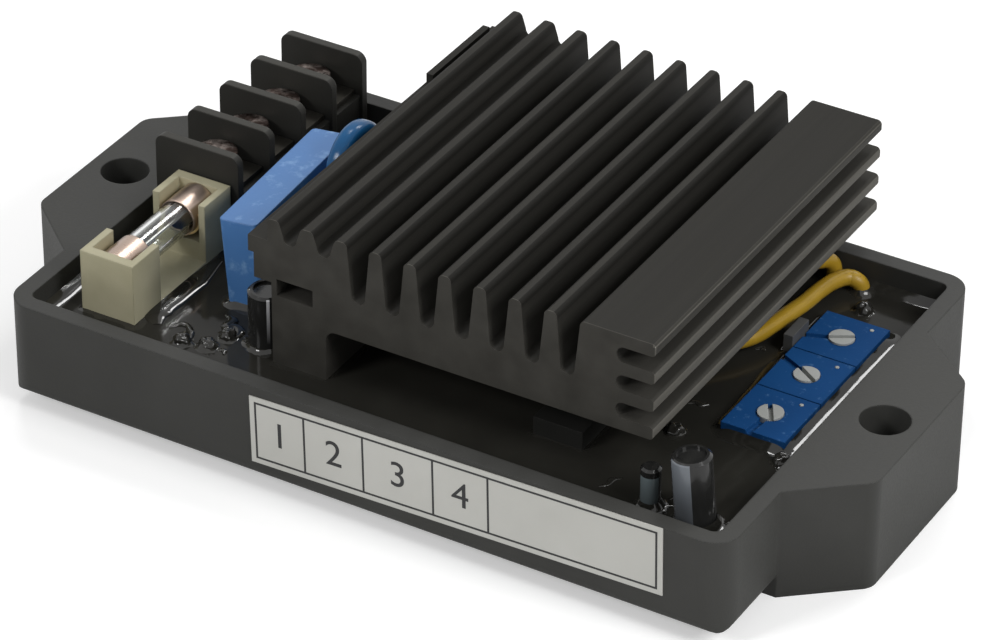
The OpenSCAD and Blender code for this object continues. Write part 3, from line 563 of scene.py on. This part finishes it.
lumps = []
for lump_x, lump_y in coated_spots:
    bpy.ops.object.select_all(action="DESELECT")
    bpy.ops.mesh.primitive_cylinder_add(vertices=32, radius=lump_r * mm, depth=coat_top - coat_foot,
                                        location=(lump_x * mm, lump_y * mm, (coat_foot + coat_top) / 2))
    lump = bpy.context.object
    set_place()
    round_edges(lump, on_crown, crown_r, segments=10)
    roughen(lump, wave=1.0 * mm, strength=0.7 * mm, middle=0.7)
    lumps.append(lump)
coated_lumps = join_pieces(lumps, "coated_lumps")
coat(coated_lumps, coat_gloss, smooth_below=60)
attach(coated_lumps, "regulator")
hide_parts("coated_resistors")


# Fuse holder: open beige moulding with a post at each end, pushed into the board.
# Its sprung brass clips stand in the posts and hold the fuse by its caps.
beige_moulding = grained("beige_moulding", deep=(0.36, 0.335, 0.22), pale=(0.45, 0.42, 0.29),
                         rough=(0.4, 0.55), grain=2400, relief=0.015 * mm, edge=0.3 * mm, drift=120,
                         specular=0.4)
finish_nodes(beige_moulding, "fuse_holder")
clip_brass = grained("clip_brass", deep=(0.62, 0.47, 0.25), pale=(0.72, 0.56, 0.32), rough=(0.25, 0.4),
                     grain=1800, relief=0.004 * mm, metallic=1.0)
finish_nodes(clip_brass, "fuse_clips")


# Fuse: a clear glass tube with a thin wire inside and a plated cap crimped on each end.
# The caps are drawn brass with a bright, slightly handled plating.
cap_plating = grained("cap_plating", deep=(0.36, 0.27, 0.22), pale=(0.5, 0.4, 0.335), rough=(0.22, 0.36),
                      grain=1200, relief=0.006 * mm, edge=0.3 * mm, metallic=1.0)
finish_nodes(cap_plating, "fuse_caps")
wire_tin = grained("wire_tin", deep=(0.5, 0.5, 0.48), pale=(0.62, 0.62, 0.6), rough=(0.25, 0.4),
                   grain=1800, relief=0.003 * mm, metallic=1.0)
finish_nodes(wire_tin, "fuse_wire")
tube_glass = grained("tube_glass", deep=(0.93, 0.96, 0.95), pale=(0.97, 0.98, 0.97), rough=(0.01, 0.04),
                     grain=500, relief=0.002 * mm)
glass_shader = tube_glass.node_tree.nodes["Principled BSDF"]
glass_shader.inputs["Transmission Weight"].default_value = 1.0
glass_shader.inputs["IOR"].default_value = 1.5
finish_nodes(tube_glass, "fuse_glass")


# Barrier strip: black moulded block with five plates between four screw terminals.
# The plates' top edges are paler. Contact plates and slotted screws have gone dark,
# with a reddish cast and bright scuffs on the worn heads.
def scuff_marks():
    """Group shared by handled surfaces: a mask of sparse uneven scuffs and dust."""
    full_scuff = 0.8
    group, given, result = effect_group("scuff_marks", (("Scale", "Float"), ("Level", "Float")), ("Mask",))
    place = group.nodes.new("ShaderNodeTexCoord")
    field = group.nodes.new("ShaderNodeTexNoise")
    field.inputs["Detail"].default_value = 6.0
    field.inputs["Roughness"].default_value = 0.65
    mark = group.nodes.new("ShaderNodeMapRange")
    mark.inputs["From Max"].default_value = full_scuff
    group.links.new(place.outputs["Object"], field.inputs["Vector"])
    group.links.new(given["Scale"], field.inputs["Scale"])
    group.links.new(given["Level"], mark.inputs["From Min"])
    group.links.new(field.outputs["Fac"], mark.inputs["Value"])
    group.links.new(mark.outputs["Result"], result["Mask"])
    return group


scuff_tree = scuff_marks()


def scuffed(material, scale, level, tint):
    """Adds scuffs of that tint to a finish: a lower level gives more of them."""
    marks = put_group(material.node_tree, scuff_tree, {"Scale": scale, "Level": level})
    lay_over(material, marks["Mask"], tint)


strip_moulding = grained("strip_moulding", deep=(0.0215, 0.021, 0.0185), pale=(0.029, 0.028, 0.0245),
                         rough=(0.45, 0.6), grain=2600, relief=0.012 * mm, edge=0.25 * mm, specular=0.15)
strip_tree = strip_moulding.node_tree
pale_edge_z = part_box("terminal_block")[1].z - 0.15 * mm
plate_edges = math_step(strip_tree, "GREATER_THAN", axes_of(strip_tree)["Z"], pale_edge_z)
pale_where(strip_moulding, ((plate_edges, 1.7),))
finish_nodes(strip_moulding, "terminal_block")
plate_metal = grained("plate_metal", deep=(0.05, 0.047, 0.04), pale=(0.085, 0.08, 0.069),
                      rough=(0.4, 0.55), grain=1400, relief=0.006 * mm, edge=0.2 * mm, metallic=1.0)
finish_nodes(plate_metal, "terminal_plates")
screw_metal = grained("screw_metal", deep=(0.055, 0.038, 0.033), pale=(0.12, 0.085, 0.074),
                      rough=(0.26, 0.44), grain=1400, relief=0.006 * mm, edge=0.2 * mm, drift=700,
                      metallic=1.0)
scuffed(screw_metal, scale=600, level=0.44, tint=(0.85, 0.74, 0.68))
finish_nodes(screw_metal, "terminal_screws")


# Film capacitor: a light blue plastic box that leans a little towards the fuse.
# The box is moulded, satin, with soft edges and faint handling marks.
film_box = grained("film_box", deep=(0.049, 0.163, 0.41), pale=(0.071, 0.2, 0.465), rough=(0.34, 0.5),
                   grain=2000, relief=0.012 * mm, edge=0.35 * mm)
scuffed(film_box, scale=420, level=0.56, tint=(0.24, 0.42, 0.68))
finish_nodes(film_box, "film_capacitor")


# Varistor: a flat disc dipped in glossy blue epoxy, standing on two wire legs.
# The dip has rounded its rim and run a little way down the legs.
varistor_low, varistor_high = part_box("varistor")
disc_x = (varistor_low.x + varistor_high.x) / 2
disc_t = varistor_high.x - varistor_low.x
disc_r = (varistor_high.y - varistor_low.y) / 2
disc_y = (varistor_low.y + varistor_high.y) / 2
disc_z = varistor_high.z - disc_r
rim_r = 1.1 * mm
leg_foot = varistor_low.z
bare_leg = resin_top + 2.8 * mm - leg_foot
leg_steps = [(bare_leg, leg_r), (1.6 * mm, 0.5), (1.6 * mm, 0.8), (2.0 * mm, 0.9)]


def on_rim(line):
    return abs(line.verts[0].co.x - line.verts[1].co.x) < 0.1 * mm


bpy.ops.object.select_all(action="DESELECT")
bpy.ops.mesh.primitive_cylinder_add(vertices=72, radius=disc_r, depth=disc_t,
                                    location=(disc_x, disc_y, disc_z), rotation=(0, math.pi / 2, 0))
dipped_disc = bpy.context.object
set_place()
round_edges(dipped_disc, on_rim, rim_r, segments=7)
disc_parts = [dipped_disc]
for foot_x, foot_y in varistor_feet:
    leg = flat_disc(leg_r * mm, sides=20, at=(foot_x * mm, foot_y * mm, leg_foot))
    set_edit(leg)
    hold_faces()
    reached, width = leg_foot, leg_r
    for lift, wide in leg_steps:
        reached += lift
        push_up(lift)
        bpy.ops.transform.resize(value=(wide / width, wide / width, 1),
                                 center_override=(foot_x * mm, foot_y * mm, reached))
        width = wide
    leave_edit()
    disc_parts.append(leg)
varistor_disc = join_pieces(disc_parts, "varistor_disc")
blue_dip = grained("blue_dip", deep=(0.006, 0.066, 0.18), pale=(0.014, 0.11, 0.27), rough=(0.12, 0.25),
                   grain=700, relief=0.03 * mm, specular=0.2)
coat(varistor_disc, blue_dip, smooth_below=40)
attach(varistor_disc, "regulator")
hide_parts("varistor")


# Round capacitors: aluminium cans in shrunk black sleeve, crimped round the top.
# The front one leans a little and carries a pale polarity stripe; the small one has a painted highlight
# line down its side.
def stripe_and_highlight():
    """Group shared by upright round parts: a mask down one side that fades towards the foot."""
    fade_from = 0.4
    group, given, result = effect_group(
        "stripe_and_highlight", (("Foot", "Vector"), ("Lean", "Vector"), ("Bearing", "Float"),
                        ("Half Angle", "Float"), ("Top", "Float"), ("Inner Radius", "Float"),
                        ("Foot Share", "Float")), ("Mask",))
    place = group.nodes.new("ShaderNodeTexCoord")
    own_frame = group.nodes.new("ShaderNodeMapping")
    own_frame.vector_type = "TEXTURE"
    axes = group.nodes.new("ShaderNodeSeparateXYZ")
    group.links.new(place.outputs["Object"], own_frame.inputs["Vector"])
    group.links.new(given["Foot"], own_frame.inputs["Location"])
    group.links.new(given["Lean"], own_frame.inputs["Rotation"])
    group.links.new(own_frame.outputs["Vector"], axes.inputs["Vector"])
    x, y, z = (axes.outputs[axis] for axis in "XYZ")
    turned = math_step(group, "ARCTAN2", y, x)
    from_middle = math_step(group, "ABSOLUTE", math_step(group, "SUBTRACT", turned, given["Bearing"]))
    across = math_step(group, "LESS_THAN", from_middle, given["Half Angle"])
    below_top = math_step(group, "LESS_THAN", z, given["Top"])
    far = math_step(group, "ADD", math_step(group, "MULTIPLY", x, x), math_step(group, "MULTIPLY", y, y))
    on_side = math_step(group, "GREATER_THAN", math_step(group, "SQRT", far), given["Inner Radius"])
    fade = group.nodes.new("ShaderNodeMapRange")
    group.links.new(z, fade.inputs["Value"])
    group.links.new(math_step(group, "MULTIPLY", given["Top"], fade_from), fade.inputs["From Min"])
    group.links.new(given["Top"], fade.inputs["From Max"])
    group.links.new(given["Foot Share"], fade.inputs["To Min"])
    mark = fade.outputs["Result"]
    for mask in (across, below_top, on_side):
        mark = math_step(group, "MULTIPLY", mark, mask)
    group.links.new(mark, result["Mask"])
    return group


stripe_highlight_tree = stripe_and_highlight()


def side_line(material, foot, bearing, half_angle, top, inner_r, tint, lean=0.0, foot_share=0.4):
    """Adds a pale band down one side of an upright round part, its own colour on some parts and a painted
    highlight on the small can: angles are in degrees.
    """
    side_mark = put_group(material.node_tree, stripe_highlight_tree, {
        "Foot": foot, "Lean": (0, math.radians(-lean), 0), "Bearing": math.radians(bearing),
        "Half Angle": math.radians(half_angle), "Top": top, "Inner Radius": inner_r,
        "Foot Share": foot_share})
    lay_over(material, side_mark["Mask"], tint)


def sleeve(name):
    return grained(name, deep=(0.011, 0.011, 0.0105), pale=(0.018, 0.018, 0.0175), rough=(0.08, 0.16),
                   grain=500, relief=0.006 * mm, specular=0.4)


small_sleeve = sleeve("small_sleeve")
# Painted highlight: a narrow near-white line down the small can's side that fades out towards its foot.
side_line(small_sleeve, (small_can_at[0] * mm, small_can_at[1] * mm, board_top), bearing=-56.0,
        half_angle=4.5, top=11.0 * mm, inner_r=2.3 * mm, tint=(0.62, 0.62, 0.64), foot_share=0.0)
finish_nodes(small_sleeve, "small_capacitor")
front_can_r = 2.55 * mm
front_can_lean = 5.5
front_can_foot = (44.1 * mm, front_can_at[1] * mm,
                  board_top + front_can_r * math.sin(math.radians(front_can_lean)))
front_sleeve = sleeve("front_sleeve")
side_line(front_sleeve, front_can_foot, bearing=-103.0, half_angle=36.0, top=12.3 * mm, inner_r=2.2 * mm,
        tint=(0.15, 0.165, 0.185), lean=front_can_lean)
finish_nodes(front_sleeve, "electrolytic_capacitor")


# Standing diode and chip capacitor: small moulded parts that stand in the resin.
# The diode is black epoxy with a pale side, the chip is plain grey.
diode_epoxy = sleeve("diode_epoxy")
side_line(diode_epoxy, (diode_at[0] * mm, diode_at[1] * mm, board_top), bearing=-78.0, half_angle=62.0,
        top=7.7 * mm, inner_r=0.9 * mm, tint=(0.13, 0.16, 0.17))
finish_nodes(diode_epoxy, "standing_diode")
grey_epoxy = grained("grey_epoxy", deep=(0.052, 0.052, 0.051), pale=(0.082, 0.082, 0.08),
                     rough=(0.4, 0.55), grain=1800, relief=0.012 * mm, edge=0.15 * mm, specular=0.3)
finish_nodes(grey_epoxy, "chip_capacitor")


# Insulated leads: two short stranded wires in yellow plastic, both ends cast in the resin.
# Each bends stiffly out of the resin and dips back in beside the heat sink.
yellow_skin = grained("yellow_skin", deep=(0.325, 0.2, 0.015), pale=(0.415, 0.26, 0.024),
                      rough=(0.28, 0.42), grain=900, relief=0.02 * mm, drift=140, specular=0.35)
buried = (board_top - resin_top) / mm
# Points in millimetres, with heights from the resin's surface.
lead_routes = {
    "lead_a": [
        (*lead_a_ends[0], buried), (*lead_a_ends[0], 0.3), (25.72, -0.49, 1.2), (26.06, 0.07, 1.86),
        (26.52, 0.85, 2.1), (28.4, 4.2, 2.2), (31.0, 8.0, 2.1), (32.4, 10.6, 2.0),
        (33.2, 13.9, 2.0), (33.9, 16.9, 2.2), (34.5, 20.2, 2.2), (34.8, 24.1, 2.1),
        (35.4, 27.2, 2.0), (36.47, 29.03, 1.85), (37.28, 29.34, 1.62), (37.88, 29.57, 0.98),
        (*lead_a_ends[1], 0.1), (*lead_a_ends[1], buried),
    ],
    "lead_b": [
        (*lead_b_ends[0], buried), (*lead_b_ends[0], 1.8), (33.85, 29.35, 2.9), (33.43, 28.66, 3.7),
        (32.87, 27.71, 4.0), (31.6, 25.6, 4.1), (30.8, 24.2, 3.8), (29.9, 22.6, 3.0),
        (29.35, 21.65, 2.0), (29.07, 21.2, 1.0), (*lead_b_ends[1], 0.2), (*lead_b_ends[1], buried),
    ],
}
for node_name, route in lead_routes.items():
    wire = tube("yellow_" + node_name, [(x * mm, y * mm, resin_top + z * mm) for x, y, z in route],
                wire_r * mm, facets=6, steps=8)
    coat(wire, yellow_skin, smooth_below=60)
    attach(wire, "regulator")
    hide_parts(node_name)


# Trimmers: square blue moulded bodies, each with a slotted white rotor and a moulded spot.
# The rotors are pressed in the bodies' wells and turn with a screwdriver.
trimmer_blue = grained("trimmer_blue", deep=(0.0075, 0.05, 0.165), pale=(0.0105, 0.066, 0.205),
                       rough=(0.32, 0.46), grain=2200, relief=0.012 * mm, edge=0.2 * mm, specular=0.03)
scuffed(trimmer_blue, scale=800, level=0.6, tint=(0.1, 0.22, 0.4))
finish_nodes(trimmer_blue, "trimmer_body_1", "trimmer_body_2", "trimmer_body_3")
rotor_white = grained("rotor_white", deep=(0.31, 0.32, 0.305), pale=(0.39, 0.4, 0.385),
                      rough=(0.35, 0.5), grain=1600, relief=0.01 * mm, edge=0.15 * mm)
finish_nodes(rotor_white, "trimmer_rotor_1", "trimmer_rotor_2", "trimmer_rotor_3")
trimmer_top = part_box("trimmer_body_1")[1].z
trimmer_x = 41.75
trimmer_rows = (16.6, 6.9, -2.8)
spot_x = (trimmer_x + 2.5) * mm
spot_behind = 3.5
spot_r = 0.28 * mm
spot_wall = 0.06 * mm
spot_crown = 0.03 * mm
spots = []
for row in trimmer_rows:
    spot = flat_disc(spot_r, sides=24, at=(spot_x, (row + spot_behind) * mm, trimmer_top))
    set_edit(spot)
    hold_faces()
    push_up(spot_wall)
    bpy.ops.mesh.inset(thickness=spot_wall)
    bpy.ops.transform.translate(value=(0, 0, spot_crown))
    leave_edit()
    spots.append(spot)
trimmer_spots = join_pieces(spots, "trimmer_spots")
trimmer_spots.data.materials.append(rotor_white)
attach(trimmer_spots, "regulator")


# Label: a white paper strip stuck to the front wall, a little askew.
# A printed frame and four bars part the terminal numbers from a blank end.
label_paper = grained("label_paper", deep=(0.45, 0.447, 0.415), pale=(0.505, 0.502, 0.47),
                      rough=(0.4, 0.55), grain=2600, relief=0.006 * mm, drift=70)
finish_nodes(label_paper, "label")
ink = grained("ink", deep=(0.008, 0.008, 0.009), pale=(0.016, 0.016, 0.017), rough=(0.4, 0.55),
              grain=2600, relief=0.003 * mm)
label_low, label_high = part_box("label")
label_middle = (label_low + label_high) / 2
label_tilt = -1.4
frame_half = (28.45 * mm, 4.2 * mm)
line_w = 0.28 * mm
ink_t = 0.02 * mm
digit_size = 5.2 * mm
bars = [bar_x * mm - label_middle.x for bar_x in (-6.8, 1.7, 11.7, 19.5)]


def raise_print():
    """Gives the flat ink shape in hand its thickness, away from the paper."""
    bpy.ops.mesh.select_all(action="SELECT")
    push_up(ink_t)
    leave_edit()


border = flat_plate(*frame_half)
set_edit(border)
hold_faces()
bpy.ops.mesh.inset(thickness=line_w)
bpy.ops.mesh.delete(type="FACE")
raise_print()
print_parts = [border]
for bar_x in bars:
    bar = flat_plate(line_w / 2, frame_half[1] - line_w, at=(bar_x, 0, 0))
    set_edit(bar)
    hold_faces()
    raise_print()
    print_parts.append(bar)
cell_starts = [-frame_half[0]] + bars[:-1]
for count, (start, end) in enumerate(zip(cell_starts, bars)):
    bpy.ops.object.select_all(action="DESELECT")
    bpy.ops.object.text_add()
    digit = bpy.context.object
    digit.data.body = str(count + 1)
    digit.data.size = digit_size
    digit.data.extrude = ink_t / 2
    digit.data.align_x = "CENTER"
    digit.data.align_y = "CENTER"
    bpy.ops.object.convert(target="MESH")
    digit = bpy.context.object
    digit.location = ((start + end) / 2, 0, ink_t / 2)
    set_place()
    print_parts.append(digit)
label_print = join_pieces(print_parts, "label_print")
label_print.data.materials.clear()
label_print.data.materials.append(ink)
label_print.matrix_world = (
    Matrix.Translation((label_middle.x, label_low.y, label_middle.z))
    @ Matrix.Rotation(math.radians(label_tilt), 4, "Y") @ Matrix.Rotation(math.radians(90), 4, "X")
)
set_place()
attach(label_print, "regulator")


# Studio: a pale floor under soft lamps, with a white surround in reflections.
# The camera stands at the photograph's place, with a long lens.
scene = bpy.context.scene
scene.view_settings.view_transform = "Standard"
floor_glow = 0.3
bpy.ops.object.select_all(action="DESELECT")
bpy.ops.mesh.primitive_plane_add(size=6)
floor = bpy.context.object
floor.name = "studio_floor"
floor_paper = bpy.data.materials.new("floor_paper")
floor_paper.use_nodes = True
floor_tree = floor_paper.node_tree
floor_shader = floor_tree.nodes["Principled BSDF"]
floor_shader.inputs["Base Color"].default_value = (0.86, 0.86, 0.86, 1)
floor_shader.inputs["Roughness"].default_value = 0.9
floor_shader.inputs["Specular IOR Level"].default_value = 0.0
floor_shader.inputs["Emission Color"].default_value = (1, 1, 1, 1)
floor_rays = floor_tree.nodes.new("ShaderNodeLightPath")
floor_lift = math_step(floor_tree, "MULTIPLY", floor_rays.outputs["Is Camera Ray"], floor_glow)
floor_tree.links.new(floor_lift, floor_shader.inputs["Emission Strength"])
floor.data.materials.append(floor_paper)

fill_light = 0.33
surround = bpy.data.worlds.new("white_surround")
scene.world = surround
surround.use_nodes = True
air = surround.node_tree
rays = air.nodes.new("ShaderNodeLightPath")
seen = rays.outputs["Is Camera Ray"]
for kind in ("Is Glossy Ray", "Is Transmission Ray"):
    seen = math_step(air, "MAXIMUM", seen, rays.outputs[kind])
level = air.nodes.new("ShaderNodeMapRange")
level.inputs["To Min"].default_value = fill_light
level.inputs["To Max"].default_value = 1.0
air.links.new(seen, level.inputs["Value"])
air.links.new(level.outputs["Result"], air.nodes["Background"].inputs["Strength"])
air.nodes["Background"].inputs["Color"].default_value = (1, 1, 1, 1)

aim = Vector((0, 0, 12 * mm))
# Place and size in metres, power in watts.
lamps = {
    "key": ((-0.4, -0.75, 0.6), (0.24, 0.24), 3.6),
    "right": ((0.32, -0.06, 0.26), (0.16, 0.16), 0.9),
    "back_right": ((0.12, 0.72, 0.64), (0.2, 0.1), 0.8),
    "back_left": ((-0.06, 0.645, 0.7), (0.2, 0.12), 1.2),
    "top": ((-0.3, 0.33, 0.79), (0.14, 0.14), 1.0),
}
for name, (place, size, power) in lamps.items():
    lamp = bpy.data.lights.new(name, "AREA")
    lamp.shape = "RECTANGLE"
    lamp.size, lamp.size_y = size
    lamp.energy = power
    lamp_object = bpy.data.objects.new(name, lamp)
    lamp_object.location = place
    lamp_object.rotation_euler = (aim - Vector(place)).to_track_quat("-Z", "Y").to_euler()
    scene.collection.objects.link(lamp_object)

lens = bpy.data.cameras.new("photo_camera")
lens.lens = 175.46
lens.sensor_width = 36.0
camera = bpy.data.objects.new("photo_camera", lens)
eye_at = (0.25708, -0.44326, 0.3521)
eye_right = (0.8629, 0.5053, 0.0076)
eye_up = (-0.2853, 0.4747, 0.8327)
eye_back = (0.4171, -0.7207, 0.5538)
eye_turn = Matrix((eye_right, eye_up, eye_back)).transposed().to_4x4()
camera.matrix_world = Matrix.Translation(eye_at) @ eye_turn
scene.collection.objects.link(camera)
scene.camera = camera
